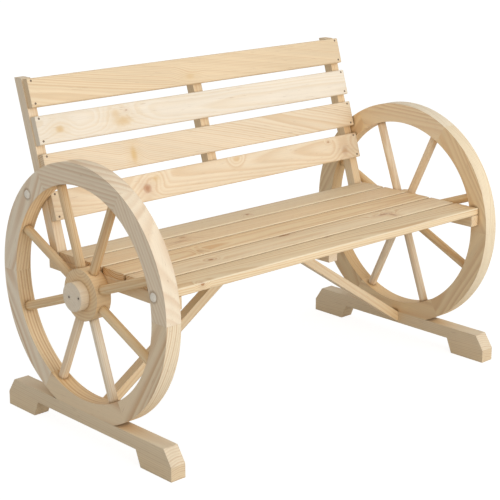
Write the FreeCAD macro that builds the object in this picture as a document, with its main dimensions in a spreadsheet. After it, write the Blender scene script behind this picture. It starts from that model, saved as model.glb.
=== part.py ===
# Wagon wheel bench: two cart wheels on runners carry a slatted seat and a leaning slatted back.
# Millimetres. +X runs along the bench to the sitter's left, +Y to the back, +Z up.
# The origin is on the floor, under the middle of the bench, in the plane of the wheel axles.

import FreeCAD, Part
import os

import Sketcher

FELLOES = 6
SPOKES = 8
SEAT_SLATS = 5
BACK_SLATS = 4

X_AXIS = "vector(1; 0; 0)"
Y_AXIS = "vector(0; 1; 0)"

doc = FreeCAD.newDocument("wagon_wheel_bench")
nodes = []


# Driving dimensions

SIZES = {
    # wheel
    "wheel_radius": 300,
    "rim_depth": 49.5,
    "rim_thick": 40,
    "rim_flat": 20,
    "hub_radius": 60,
    "hub_thick": 40,
    "cap_radius": 33.5,
    "cap_thick": 23,
    "spoke_dia": 22,
    "spoke_angle": 20,
    "tenon_width": 12,
    "hub_tenon": 24,
    "rim_tenon": 18,
    # loose tongues, between the felloes and between rim and runner
    "tongue_length": 44,
    "tongue_depth": 14,
    "tongue_thick": 8,
    "tongue_cover": 4,
    "runner_tongue_offset": 45,
    # runner
    "runner_length": 614,
    "runner_height": 70,
    "foot_length": 105,
    "foot_rise": 38.5,
    "foot_slope": 16,
    "end_height": 33.5,
    "end_slope": 25,
    # seat
    "seat_slat_length": 1028,
    "slat_thick": 18,
    "slat_chamfer": 2,
    "seat_rise": 65,
    "seat_slat_gap": 6,
    "seat_setback": 28,
    "back_setback": 167.5,
    "rail_width": 26,
    "rail_height": 28,
    "rail_tail": 40,
    "bearer_width": 28,
    "bearer_height": 27,
    "bearer_inset": 24.5,
    # knee braces
    "brace_depth": 24.5,
    "brace_cut": 28,
    "brace_foot_height": 42,
    # back
    "back_tilt": 17,
    "back_slat_inset": 2,
    "back_slat_height": 67.4,
    "back_slat_gap": 20.6,
    "back_slat_start": 88,
    "upright_width": 26,
    "upright_depth": 26,
    "upright_drop": 2,
    "batten_width": 28,
    "batten_depth": 25,
    "batten_inset": 6,
    # coach screws
    "screw_dia": 8,
    "screw_length": 62,
    "screw_head_dia": 21,
    "screw_head_height": 5.5,
    "screw_setback": 14,
    # clearances
    "slat_end_gap": 0.4,
    "upright_gap": 0.5,
    "brace_head_gap": 0.5,
    "tenon_fit": 0.2,
    "tongue_fit": 0.2,
    "lap_fit": 0.2,
    "screw_fit": 0.2,
    "end_gap": 1,
}

sheet = doc.addObject("Spreadsheet::Sheet", "sizes")
for row, (alias, value) in enumerate(SIZES.items(), start=1):
    sheet.set(f"A{row}", alias)
    sheet.set(f"B{row}", str(value))
    sheet.setAlias(f"B{row}", alias)
doc.recompute()


# Places worked out from the sizes, as expressions

def size(name):
    return f"sizes.{name}"


def number_of(expression):
    return float(sheet.evalExpression(expression.replace("sizes.", "")))


INNER_X = f"({size('seat_slat_length')} / 2 + {size('slat_end_gap')})"
OUTER_X = f"({INNER_X} + {size('rim_thick')})"
MIDDLE_X = f"({INNER_X} + {size('rim_thick')} / 2)"
HUB_FACE_X = f"({INNER_X} + {size('hub_thick')})"
AXLE_Z = f"({size('runner_height')} + {size('wheel_radius')} - {size('rim_flat')})"
RIM_INNER = f"({size('wheel_radius')} - {size('rim_depth')})"
RIM_MIDDLE = f"({size('wheel_radius')} - {size('rim_depth')} / 2)"
RIM_SHOULDER = f"sqrt({RIM_INNER}^2 - ({size('spoke_dia')} / 2)^2)"
TENON_START = f"({size('hub_radius')} - {size('hub_tenon')})"
TENON_END = f"({RIM_INNER} + {size('rim_tenon')})"
TONGUE_START = f"({TENON_END} + {size('end_gap')} + {size('tongue_cover')})"

SEAT_FRONT = f"(-({size('wheel_radius')} - {size('seat_setback')}))"
BACK_FOOT = f"({size('wheel_radius')} - {size('back_setback')})"
SEAT_REAR = f"({BACK_FOOT} - {size('upright_gap')})"
SEAT_DEPTH = f"({SEAT_REAR} - {SEAT_FRONT})"
RAIL_TOP = f"({AXLE_Z} + {size('seat_rise')} - {size('slat_thick')})"
RAIL_BOTTOM = f"({RAIL_TOP} - {size('rail_height')})"
LAP_X = f"({INNER_X} - {size('rail_width')} / 2)"

# The seat slats share the depth between the wheels' fronts and the uprights.
SEAT_PITCH = f"(({SEAT_DEPTH} + {size('seat_slat_gap')}) / {SEAT_SLATS})"
SEAT_SLAT_WIDTH = f"({SEAT_PITCH} - {size('seat_slat_gap')})"

TILT = size("back_tilt")
BACK_PITCH = f"({size('back_slat_height')} + {size('back_slat_gap')})"
BACK_RISE = f"({BACK_SLATS} * {BACK_PITCH} - {size('back_slat_gap')})"
BACK_TOP = f"({size('back_slat_start')} + {BACK_RISE})"
BACK_SLAT_LENGTH = f"({size('seat_slat_length')} - 2 * {size('back_slat_inset')})"


def back_y(rise, behind):
    """Y of a point so far up the leaning back and so far behind the uprights' front face."""
    return f"({BACK_FOOT} + ({rise}) * sin({TILT}) + ({behind}) * cos({TILT}))"


def back_z(rise, behind):
    """Z of the same point."""
    return f"({RAIL_TOP} + ({rise}) * cos({TILT}) - ({behind}) * sin({TILT}))"


# The front coach screw is centred in the end of the front seat slat.
FRONT_SCREW_Y = f"({SEAT_FRONT} + {size('screw_setback')})"
FRONT_SCREW_Z = f"({RAIL_TOP} + {size('slat_thick')} / 2)"

# The rear one lies where the upright's middle line crosses the middle of the rim.
HALF_DEPTH = f"({size('upright_depth')} / 2)"
LINE_Y = back_y("0", HALF_DEPTH)
LINE_Z = f"({back_z('0', HALF_DEPTH)} - {AXLE_Z})"
LINE_DOT = f"({LINE_Y} * sin({TILT}) + {LINE_Z} * cos({TILT}))"
SCREW_RISE = f"(sqrt({LINE_DOT}^2 - {LINE_Y}^2 - {LINE_Z}^2 + {RIM_MIDDLE}^2) - {LINE_DOT})"
REAR_SCREW_Y = back_y(SCREW_RISE, HALF_DEPTH)
REAR_SCREW_Z = back_z(SCREW_RISE, HALF_DEPTH)


# Helpers for document objects

def bind(obj, **expressions):
    for name, text in expressions.items():
        obj.setExpression(name, text)
    return obj


def place(obj, x, y, z, rotation=f"rotation({X_AXIS}; 0)"):
    """Binds the whole placement: a point and a rotation."""
    return bind(obj, Placement=f"placement(vector({x}; {y}; {z}); {rotation})")


def box(name, length, width, height):
    return bind(doc.addObject("Part::Box", name), Length=length, Width=width, Height=height)


def cylinder(name, radius, height):
    return bind(doc.addObject("Part::Cylinder", name), Radius=radius, Height=height)


def disc(name, radius, thick, outer_x):
    """A disc on the left wheel's axle, from its outer face inward."""
    return place(cylinder(name, radius, thick), f"-{outer_x}", "0", AXLE_Z, f"rotation({Y_AXIS}; 90)")


def cut(name, base, tools):
    tool = doc.addObject("Part::Compound", f"{name}_tools")
    tool.Links = tools
    obj = doc.addObject("Part::Cut", name)
    obj.Base = base
    obj.Tool = tool
    return obj


def mirrored(source):
    """The same piece at the other end of the bench."""
    obj = doc.addObject("Part::Mirroring", f"{source.Name}_twin")
    obj.Source = source
    obj.Normal = FreeCAD.Vector(1, 0, 0)
    return obj


def node(obj, label):
    obj.Label = label
    nodes.append(obj)


def node_at_both_ends(obj, label):
    node(obj, f"left_{label}")
    node(mirrored(obj), f"right_{label}")


def node_of_all(pieces, label):
    """One node that groups a piece's copies at both ends, all alike."""
    group = doc.addObject("Part::Compound", f"{label}_group")
    group.Links = pieces + [mirrored(piece) for piece in pieces]
    node(group, label)


def new_sketch(body, role):
    plane = [f for f in body.Origin.OriginFeatures if f.Role == role][0]
    sketch = body.newObject("Sketcher::SketchObject", f"{body.Name}_profile")
    sketch.AttachmentSupport = [(plane, "")]
    sketch.MapMode = "FlatFace"
    return sketch


def point_at(x, y):
    return FreeCAD.Vector(number_of(x), number_of(y), 0)


def dimension(sketch, label, constraint, expression):
    index = sketch.addConstraint(constraint)
    sketch.renameConstraint(index, label)
    sketch.setExpression(f"Constraints.{label}", expression)


def pin_start(sketch, edge, x, y):
    """Ties the start of a sketch edge to two expressions."""
    across = Sketcher.Constraint("DistanceX", -1, 1, edge, 1, number_of(x))
    upward = Sketcher.Constraint("DistanceY", -1, 1, edge, 1, number_of(y))
    dimension(sketch, f"x{edge}", across, x)
    dimension(sketch, f"y{edge}", upward, y)


def draw_polygon(sketch, corners):
    spots = [point_at(x, y) for x, y in corners]
    for start, end in zip(spots, spots[1:] + spots[:1]):
        sketch.addGeometry(Part.LineSegment(start, end))
    for edge, (x, y) in enumerate(corners):
        following = (edge + 1) % len(corners)
        sketch.addConstraint(Sketcher.Constraint("Coincident", edge, 2, following, 1))
        pin_start(sketch, edge, x, y)


def padded(name, role, corners, length, midplane=False):
    """A body made by pushing a polygon out of one of the origin planes."""
    body = doc.addObject("PartDesign::Body", name)
    sketch = new_sketch(body, role)
    draw_polygon(sketch, corners)
    pad = body.newObject("PartDesign::Pad", f"{name}_pad")
    pad.Profile = sketch
    pad.Midplane = midplane
    bind(pad, Length=length)
    return body


# Bores for the coach screws

def screw_bore(name, y, z):
    bore = cylinder(name, f"{size('screw_dia')} / 2 + {size('screw_fit')}",
                    f"{size('screw_length')} + {size('end_gap')}")
    return place(bore, f"-{OUTER_X}", y, z, f"rotation({Y_AXIS}; 90)")


front_bore = screw_bore("front_bore", FRONT_SCREW_Y, FRONT_SCREW_Z)
rear_bore = screw_bore("rear_bore", REAR_SCREW_Y, REAR_SCREW_Z)


# Wheel: bars that point out from the axle, as spokes, tenons, mortises, tongues and slots

def radial(obj, angle, start, thick, width):
    """Stands an object on the axle's radius at an angle up from the front, its corner offset."""
    return place(obj, f"-{MIDDLE_X} - {thick} / 2",
                 f"-{start} * cos({angle}) - {width} / 2 * sin({angle})",
                 f"{AXLE_Z} + {start} * sin({angle}) - {width} / 2 * cos({angle})",
                 f"rotation({X_AXIS}; 90 - {angle})")


def tenon_bar(name, angle, fit, gap):
    width = f"({size('tenon_width')} + 2 * {fit})"
    start = f"({TENON_START} - {gap})"
    bar = box(name, width, width, f"{TENON_END} + {gap} - {start}")
    return radial(bar, angle, start, width, width)


def tongue_sizes(fit):
    return [f"({size(name)} + 2 * {fit})" for name in ("tongue_thick", "tongue_length", "tongue_depth")]


def felloe_tongue(name, angle, fit):
    thick, length, depth = tongue_sizes(fit)
    return radial(box(name, thick, length, depth), angle, f"({TONGUE_START} - {fit})", thick, length)


def runner_tongue(name, y, fit):
    thick, length, depth = tongue_sizes(fit)
    return place(box(name, thick, depth, length), f"-{MIDDLE_X} - {thick} / 2",
                 f"{y} - {depth} / 2", f"{size('runner_height')} - {length} / 2")


hub_blank = disc("hub_blank", size("hub_radius"), size("hub_thick"), HUB_FACE_X)

mortises = []
for number in range(SPOKES):
    name = f"spoke_{number + 1}"
    angle = f"({size('spoke_angle')} + {number} * 360 / {SPOKES})"
    mortises.append(tenon_bar(f"{name}_mortise", angle, size("tenon_fit"), size("end_gap")))
    rod = cylinder(f"{name}_rod", f"{size('spoke_dia')} / 2", f"{RIM_SHOULDER} - {TENON_START}")
    radial(rod, angle, TENON_START, "0", "0")
    spoke = doc.addObject("Part::Fuse", name)
    spoke.Base = cut(f"{name}_coped", rod, [hub_blank])
    spoke.Tool = tenon_bar(f"{name}_tenon", angle, "0", "0")
    node_at_both_ends(spoke, name)

tongues = []
felloe_slots = []
for number in range(FELLOES):
    angle = f"({number} * 360 / {FELLOES})"
    tongues.append(felloe_tongue(f"felloe_tongue_{number + 1}", angle, "0"))
    felloe_slots.append(felloe_tongue(f"felloe_slot_{number + 1}", angle, size("tongue_fit")))
runner_slots = []
for end, sign in (("front", "-"), ("rear", "")):
    y = f"{sign}{size('runner_tongue_offset')}"
    tongues.append(runner_tongue(f"{end}_runner_tongue", y, "0"))
    runner_slots.append(runner_tongue(f"{end}_runner_slot", y, size("tongue_fit")))
node_of_all(tongues, "wheel_tongues")

node_at_both_ends(cut("hub", hub_blank, mortises), "hub")
cap_face_x = f"({HUB_FACE_X} + {size('cap_thick')})"
node_at_both_ends(disc("cap", size("cap_radius"), size("cap_thick"), cap_face_x), "hub_cap")


# Rim: one ring with a flat underside, mortised and then parted into felloes

def rim_ring():
    body = doc.addObject("PartDesign::Body", "rim")
    sketch = new_sketch(body, "YZ_Plane")
    bind(sketch, **{"AttachmentOffset.Base.z": f"-{OUTER_X}"})
    half_flat = f"sqrt({size('wheel_radius')}^2 - ({size('wheel_radius')} - {size('rim_flat')})^2)"
    front = point_at(f"-{half_flat}", size("runner_height"))
    rear = point_at(half_flat, size("runner_height"))
    top = point_at("0", f"{AXLE_Z} + {size('wheel_radius')}")
    axle = point_at("0", AXLE_Z)
    inner = number_of(RIM_INNER)
    outer = number_of(size("wheel_radius"))
    sketch.addGeometry(Part.LineSegment(front, rear))
    sketch.addGeometry(Part.Arc(rear, top, front))
    sketch.addGeometry(Part.Circle(axle, FreeCAD.Vector(0, 0, 1), inner))
    sketch.addConstraint(Sketcher.Constraint("Coincident", 0, 2, 1, 1))
    sketch.addConstraint(Sketcher.Constraint("Coincident", 1, 2, 0, 1))
    sketch.addConstraint(Sketcher.Constraint("Coincident", 1, 3, 2, 3))
    sketch.addConstraint(Sketcher.Constraint("Horizontal", 0))
    sketch.addConstraint(Sketcher.Constraint("PointOnObject", 2, 3, -2))
    flat = Sketcher.Constraint("DistanceY", -1, 1, 0, 1, front.y)
    height = Sketcher.Constraint("DistanceY", -1, 1, 2, 3, axle.y)
    dimension(sketch, "flat", flat, size("runner_height"))
    dimension(sketch, "axle", height, AXLE_Z)
    dimension(sketch, "outer", Sketcher.Constraint("Radius", 1, outer), size("wheel_radius"))
    dimension(sketch, "inner", Sketcher.Constraint("Radius", 2, inner), RIM_INNER)
    pad = body.newObject("PartDesign::Pad", "rim_pad")
    pad.Profile = sketch
    bind(pad, Length=size("rim_thick"))
    return body


rim = cut("bored_rim", rim_ring(), mortises + felloe_slots + runner_slots + [front_bore, rear_bore])

for number in range(FELLOES):
    name = f"felloe_{number + 1}"
    sector = cylinder(f"{name}_sector", f"2 * {size('wheel_radius')}", size("rim_thick"))
    sector.Angle = 360 / FELLOES
    start = f"180 - {number + 1} * 360 / {FELLOES}"
    place(sector, f"-{OUTER_X}", "0", AXLE_Z,
          f"rotation({X_AXIS}; {start}) * rotation(vector(1; 1; 1); 120)")
    felloe = doc.addObject("Part::Common", name)
    felloe.Base = rim
    felloe.Tool = sector
    node_at_both_ends(felloe, name)


# Runner: a beam with sloped ends, undercut between its two feet

HALF_RUNNER = f"({size('runner_length')} / 2)"
FOOT_END = f"({HALF_RUNNER} - {size('foot_length')})"
rear_half = [
    (f"{FOOT_END} - {size('foot_slope')}", size("foot_rise")),
    (FOOT_END, "0"),
    (HALF_RUNNER, "0"),
    (HALF_RUNNER, size("end_height")),
    (f"{HALF_RUNNER} - {size('end_slope')}", size("runner_height")),
]
front_half = [(f"-({y})", z) for y, z in reversed(rear_half)]
beam = padded("beam", "YZ_Plane", rear_half + front_half, size("rim_thick"))
place(beam, f"-{OUTER_X}", "0", "0")
node_at_both_ends(cut("runner", beam, runner_slots), "runner")


# Slats, with their long edges eased

def slat(name, depth, height, length):
    """A board along X with its lower front corner at the body's own origin."""
    corners = [("0", "0"), (depth, "0"), (depth, height), ("0", height)]
    body = padded(name, "YZ_Plane", corners, length, midplane=True)
    doc.recompute()
    pad = body.Tip
    long_edges = [f"Edge{i}" for i, edge in enumerate(pad.Shape.Edges, start=1)
                  if abs(edge.tangentAt(edge.FirstParameter).x) > 0.99]
    easing = body.newObject("PartDesign::Chamfer", f"{name}_easing")
    easing.Base = (pad, long_edges)
    bind(easing, Size=size("slat_chamfer"))
    return body


for number in range(SEAT_SLATS):
    label = f"seat_slat_{number + 1}"
    board = slat(f"{label}_board", SEAT_SLAT_WIDTH, size("slat_thick"), size("seat_slat_length"))
    place(board, "0", f"{SEAT_FRONT} + {number} * {SEAT_PITCH}", RAIL_TOP)
    if number == 0:
        board = cut("bored_front_slat", board, [front_bore, mirrored(front_bore)])
    node(board, label)

for number in range(BACK_SLATS):
    label = f"back_slat_{number + 1}"
    board = slat(f"{label}_board", size("slat_thick"), size("back_slat_height"), BACK_SLAT_LENGTH)
    rise = f"({BACK_TOP} - {size('back_slat_height')} - {number} * {BACK_PITCH})"
    ahead = f"-{size('slat_thick')}"
    place(board, "0", back_y(rise, ahead), back_z(rise, ahead), f"rotation({X_AXIS}; -{TILT})")
    node(board, label)


# Back uprights, halved over the rails and cut level at the top, and the middle batten

UPRIGHT_RUN = f"({size('upright_depth')} / cos({TILT}))"
UPRIGHT_TOP = f"({back_z(BACK_TOP, '-' + size('slat_thick'))} - {size('upright_drop')})"


def upright_front(z):
    """Y of the uprights' front face at a height."""
    return f"({BACK_FOOT} + ({z} - {RAIL_TOP}) * tan({TILT}))"


upright_corners = [
    (upright_front(RAIL_BOTTOM), RAIL_BOTTOM),
    (f"{upright_front(RAIL_BOTTOM)} + {UPRIGHT_RUN}", RAIL_BOTTOM),
    (f"{upright_front(UPRIGHT_TOP)} + {UPRIGHT_RUN}", UPRIGHT_TOP),
    (upright_front(UPRIGHT_TOP), UPRIGHT_TOP),
]
post = padded("post", "YZ_Plane", upright_corners, size("upright_width"))
place(post, f"-{INNER_X}", "0", "0")
post_lap = box("post_lap", f"{size('rail_width')} / 2 + {size('lap_fit')}",
               f"{UPRIGHT_RUN} + {size('rail_height')}", f"{size('rail_height')} + {size('lap_fit')}")
place(post_lap, f"-{INNER_X}", upright_front(RAIL_BOTTOM), RAIL_BOTTOM)
node_at_both_ends(cut("upright", post, [post_lap, rear_bore]), "back_upright")

batten = box("batten", size("batten_width"), size("batten_depth"),
             f"{BACK_RISE} - 2 * {size('batten_inset')}")
batten_rise = f"{size('back_slat_start')} + {size('batten_inset')}"
place(batten, f"-{size('batten_width')} / 2", back_y(batten_rise, "0"), back_z(batten_rise, "0"),
      f"rotation({X_AXIS}; -{TILT})")
node(batten, "back_middle_batten")


# Seat rails, each with a sloped half-lap for its upright, and the middle bearer

rail_bar = box("rail_bar", size("rail_width"), f"{SEAT_DEPTH} + {size('rail_tail')}",
               size("rail_height"))
place(rail_bar, f"-{INNER_X}", SEAT_FRONT, RAIL_BOTTOM)
LAP_SIDE = f"({size('lap_fit')} / cos({TILT}))"
lap_corners = [
    (f"{upright_front(RAIL_BOTTOM)} - {LAP_SIDE}", RAIL_BOTTOM),
    (f"{upright_front(RAIL_BOTTOM)} + {UPRIGHT_RUN} + {LAP_SIDE}", RAIL_BOTTOM),
    (f"{upright_front(RAIL_TOP)} + {UPRIGHT_RUN} + {LAP_SIDE}", RAIL_TOP),
    (f"{upright_front(RAIL_TOP)} - {LAP_SIDE}", RAIL_TOP),
]
rail_lap = padded("rail_lap", "YZ_Plane", lap_corners, f"{size('rail_width')} / 2")
place(rail_lap, f"-{LAP_X}", "0", "0")
node_at_both_ends(cut("rail", rail_bar, [rail_lap]), "seat_rail")

bearer = box("bearer", size("bearer_width"), f"{SEAT_DEPTH} - 2 * {size('bearer_inset')}",
             size("bearer_height"))
place(bearer, f"-{size('bearer_width')} / 2", f"{SEAT_FRONT} + {size('bearer_inset')}",
      f"{RAIL_TOP} - {size('bearer_height')}")
node(bearer, "seat_middle_bearer")


# Knee braces, cut plumb against the runner's inner face and the bearer's side

BRACE_HEAD_X = f"({size('bearer_width')} / 2)"
BRACE_HEAD_Z = f"({RAIL_TOP} - {size('brace_head_gap')})"
brace_corners = [
    (f"-{INNER_X}", size("brace_foot_height")),
    (f"-{BRACE_HEAD_X}", f"{BRACE_HEAD_Z} - {size('brace_cut')}"),
    (f"-{BRACE_HEAD_X}", BRACE_HEAD_Z),
    (f"-{INNER_X}", f"{size('brace_foot_height')} + {size('brace_cut')}"),
]
brace = padded("brace", "XZ_Plane", brace_corners, size("brace_depth"), midplane=True)
node_at_both_ends(brace, "knee_brace")


# Coach screws with domed heads, through the rim into the front slat and the uprights

def coach_screw(name, y, z):
    body = doc.addObject("PartDesign::Body", name)
    sketch = new_sketch(body, "XZ_Plane")
    crown = (f"-{size('screw_head_height')}", "0")
    brim = ("0", f"{size('screw_head_dia')} / 2")
    neck = ("0", f"{size('screw_dia')} / 2")
    tip_edge = (size("screw_length"), f"{size('screw_dia')} / 2")
    tip = (size("screw_length"), "0")
    corners = [brim, neck, tip_edge, tip, crown]
    spots = [point_at(x, y) for x, y in corners]
    for start, end in zip(spots, spots[1:]):
        sketch.addGeometry(Part.LineSegment(start, end))
    head = number_of(size("screw_head_height"))
    dome = (head ** 2 + spots[0].y ** 2) / (2 * head)
    shoulder_x = dome - head - (dome ** 2 - spots[0].y ** 2 / 4) ** 0.5
    shoulder = FreeCAD.Vector(shoulder_x, spots[0].y / 2, 0)
    sketch.addGeometry(Part.Arc(spots[0], shoulder, spots[4]))
    for edge in range(3):
        sketch.addConstraint(Sketcher.Constraint("Coincident", edge, 2, edge + 1, 1))
    for edge, (x, y_text) in enumerate(corners[:4]):
        pin_start(sketch, edge, x, y_text)
    brim_end = 1 if sketch.Geometry[4].StartPoint.isEqual(spots[0], 0.001) else 2
    sketch.addConstraint(Sketcher.Constraint("Coincident", 4, brim_end, 0, 1))
    sketch.addConstraint(Sketcher.Constraint("Coincident", 4, 3 - brim_end, 3, 2))
    sketch.addConstraint(Sketcher.Constraint("Horizontal", 3))
    sketch.addConstraint(Sketcher.Constraint("PointOnObject", 4, 3, -1))
    dimension(sketch, "crown", Sketcher.Constraint("DistanceX", -1, 1, 3, 2, -head), crown[0])
    turn = body.newObject("PartDesign::Revolution", f"{name}_turn")
    turn.Profile = sketch
    turn.ReferenceAxis = (sketch, ["H_Axis"])
    turn.Angle = 360
    return place(body, f"-{OUTER_X}", y, z)


screws = [
    coach_screw("front_screw", FRONT_SCREW_Y, FRONT_SCREW_Z),
    coach_screw("rear_screw", REAR_SCREW_Y, REAR_SCREW_Z),
]
node_of_all(screws, "coach_screws")


# Check every object, then write each piece

doc.recompute()
for obj in doc.Objects:
    if "Invalid" in obj.State or "Error" in obj.State:
        raise RuntimeError(f"{obj.Label} failed: {obj.State}")
for obj in nodes:
    if obj.Shape.isNull() or not obj.Shape.isValid() or not obj.Shape.Solids:
        raise RuntimeError(f"{obj.Label} has no valid solid")

os.makedirs("parts", exist_ok=True)
for obj in nodes:
    obj.Shape.exportStep(f"parts/{obj.Label}.step")
print(len(nodes), "nodes,", sum(len(obj.Shape.Solids) for obj in nodes), "solids")
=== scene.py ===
# %% [markdown]
# # A wagon wheel bench in pale pine
# Two cart wheels on runners carry a slatted seat and a leaning slatted back, all in bare softwood.
# The joinery is already modelled at its real size, so this lesson dresses it: every board is given wood
# from its own log, the nails and small screws are added, and a plain white studio is set round it.

# %% Load the joinery
import math
import random

import bmesh
import bpy
import numpy as np
from mathutils import Matrix, Vector


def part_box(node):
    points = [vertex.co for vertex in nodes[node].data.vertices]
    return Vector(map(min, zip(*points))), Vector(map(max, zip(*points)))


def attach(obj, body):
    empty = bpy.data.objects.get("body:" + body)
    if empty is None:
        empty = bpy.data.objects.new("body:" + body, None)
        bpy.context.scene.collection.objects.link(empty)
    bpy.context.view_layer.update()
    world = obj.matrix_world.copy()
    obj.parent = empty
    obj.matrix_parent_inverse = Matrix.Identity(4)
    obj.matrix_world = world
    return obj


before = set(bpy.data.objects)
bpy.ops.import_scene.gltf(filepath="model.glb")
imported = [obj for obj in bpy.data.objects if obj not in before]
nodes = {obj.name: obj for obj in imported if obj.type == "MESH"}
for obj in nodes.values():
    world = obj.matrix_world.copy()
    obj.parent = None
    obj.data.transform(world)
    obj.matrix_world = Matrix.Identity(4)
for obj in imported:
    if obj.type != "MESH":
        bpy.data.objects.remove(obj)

scene = bpy.context.scene
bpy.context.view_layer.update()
MM = 0.001

# %% [markdown]
# ## The camera
# The picture was taken from the front left, a little above the seat, through a long lens, so the two
# wheels come out almost the same size. A long lens far away is easy to imitate: the place, the two turns
# and the focal length below make the wheels, the runners and the slats fall where they fall there.

# %% Camera
CAMERA_PLACE = (-2.3328, -2.4592, 1.3206)
CAMERA_DOWN = math.radians(16.034)
CAMERA_TURN = math.radians(-43.036)
SENSOR_WIDTH = 36.0
FOCAL_LENGTH = 102.1
FARTHEST = 60.0
camera_data = bpy.data.cameras.new("camera")
camera_data.sensor_width = SENSOR_WIDTH
camera_data.lens = FOCAL_LENGTH
camera_data.clip_end = FARTHEST
camera = bpy.data.objects.new("camera", camera_data)
camera.location = CAMERA_PLACE
camera.rotation_euler = (math.pi / 2 - CAMERA_DOWN, 0.0, CAMERA_TURN)
scene.collection.objects.link(camera)
scene.camera = camera
scene.view_settings.view_transform = "Standard"
print(f"camera at {CAMERA_PLACE}, {FOCAL_LENGTH} mm lens")

# %% [markdown]
# ## Small tools for shader nodes
# A wood shader is a long sum of simple steps. Writing each step as one short call keeps it readable:
# a value that is already a socket is wired in, and a plain number is typed into the socket.

# %% Node tools
def put(tree, kind, **settings):
    """A new node of that kind."""
    made = tree.nodes.new(kind)
    for name, value in settings.items():
        setattr(made, name, value)
    return made


def feed(tree, socket, value):
    """Wires a socket to a socket, or types a number or colour into it."""
    if isinstance(value, bpy.types.NodeSocket):
        tree.links.new(value, socket)
    else:
        socket.default_value = value


def fill(tree, made, values):
    """Feeds several inputs of a node by their names."""
    for name, value in values.items():
        feed(tree, made.inputs[name], value)


def maths(tree, operation, *values):
    """One sum with numbers, such as ADD or MULTIPLY."""
    made = put(tree, "ShaderNodeMath", operation=operation)
    for socket, value in zip(made.inputs, values):
        feed(tree, socket, value)
    return made.outputs[0]


def vectors(tree, operation, *values):
    """One sum with places, directions or colours."""
    made = put(tree, "ShaderNodeVectorMath", operation=operation)
    for socket, value in zip(made.inputs, values):
        feed(tree, socket, value)
    scalar = operation in ("LENGTH", "DOT_PRODUCT")
    return made.outputs["Value" if scalar else "Vector"]


print("node tools ready")

# %% [markdown]
# ## Soft steps, noise and colours
# Nothing in wood changes at a hard line, so most values here go from one to another with a soft step.
# Noise gives the unevenness, and colours are written as a painter mixes them.

# %% Shading tools
def ease(tree, value, start, end, low=0.0, high=1.0):
    """Goes smoothly from low to high while the value goes from start to end."""
    made = put(tree, "ShaderNodeMapRange", interpolation_type="SMOOTHSTEP")
    fill(tree, made, {"Value": value, "From Min": start, "From Max": end, "To Min": low, "To Max": high})
    return made.outputs["Result"]


def mottle(tree, place, stretch, detail=2.0):
    """Noise whose spots are as many to the metre, along and across the grain, as stretch says."""
    made = put(tree, "ShaderNodeTexNoise")
    feed(tree, made.inputs["Vector"], vectors(tree, "MULTIPLY", place, stretch))
    made.inputs["Scale"].default_value = 1.0
    made.inputs["Detail"].default_value = detail
    return made


def blend_colour(tree, factor, first, second):
    """The first colour where the factor is 0, the second where it is 1."""
    made = put(tree, "ShaderNodeMix", data_type="RGBA")
    fill(tree, made, {"Factor": factor, "A": first, "B": second})
    return made.outputs["Result"]


def paint(code):
    """A colour as a painter mixes it, six hex digits, turned into the light it reflects."""
    shades = [int(code[at:at + 2], 16) / 255 for at in (0, 2, 4)]
    light = [s / 12.92 if s <= 0.04045 else ((s + 0.055) / 1.055) ** 2.4 for s in shades]
    return (*light, 1.0)


def empty_material(name):
    """A material with no nodes yet, and its node tree."""
    finish = bpy.data.materials.new(name)
    finish.use_nodes = True
    finish.node_tree.nodes.clear()
    return finish, finish.node_tree


def show(tree, shader):
    """Makes a shader the surface of its material."""
    feed(tree, put(tree, "ShaderNodeOutputMaterial").inputs["Surface"], shader.outputs[0])


print("shading tools ready")

# %% [markdown]
# ## The sky
# The background is pure white, but a white sky bright enough for that would bleach the wood. So the world
# shows white to the camera and to mirror-like metal, while the wood is lit by a calmer sky. That sky is
# warm overhead, a little cool at the horizon, and brighter in front than behind, as in a room with a wall
# of windows. This gives the slats' tops, fronts and ends their different tones.

# %% Sky
WHITE = (1.0, 1.0, 1.0, 1.0)
ZENITH = (1.0, 0.955, 0.865, 1.0)
HORIZON = (0.985, 1.0, 1.03, 1.0)
SKY_BLEND = (0.1, 0.9)
SKY_STRENGTH = 0.62
SKY_LEAN = 0.4


def seen_directly(tree):
    """1 for what the camera sees, straight or in a mirror or through glass."""
    path = put(tree, "ShaderNodeLightPath")
    seen = maths(tree, "MAXIMUM", path.outputs["Is Camera Ray"], path.outputs["Is Glossy Ray"])
    return maths(tree, "MAXIMUM", seen, path.outputs["Is Transmission Ray"])


def lit_or_seen(tree, lit, seen):
    """One shader that lights the bench, and another that the camera sees in its place."""
    either = put(tree, "ShaderNodeMixShader")
    feed(tree, either.inputs[0], seen_directly(tree))
    feed(tree, either.inputs[1], lit.outputs[0])
    feed(tree, either.inputs[2], seen.outputs[0])
    return either


world = bpy.data.worlds.new("studio")
scene.world = world
world.use_nodes = True
sky_tree = world.node_tree
sky_tree.nodes.clear()
sky = put(sky_tree, "ShaderNodeBackground")
way = put(sky_tree, "ShaderNodeTexCoord").outputs["Generated"]
upward = vectors(sky_tree, "DOT_PRODUCT", way, (0.0, 0.0, 1.0))
sky_tint = blend_colour(sky_tree, ease(sky_tree, upward, *SKY_BLEND), HORIZON, ZENITH)
backward = vectors(sky_tree, "DOT_PRODUCT", way, (0.0, 1.0, 0.0))
lean = maths(sky_tree, "MULTIPLY_ADD", backward, -SKY_LEAN * SKY_STRENGTH, SKY_STRENGTH)
fill(sky_tree, sky, {"Color": sky_tint, "Strength": lean})
backdrop = put(sky_tree, "ShaderNodeBackground")
backdrop.inputs["Color"].default_value = WHITE
backdrop.inputs["Strength"].default_value = 1.0
surround = lit_or_seen(sky_tree, sky, backdrop)
feed(sky_tree, put(sky_tree, "ShaderNodeOutputWorld").inputs["Surface"], surround.outputs[0])
print(f"sky at {SKY_STRENGTH}, {SKY_LEAN:.0%} brighter in front")

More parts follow.
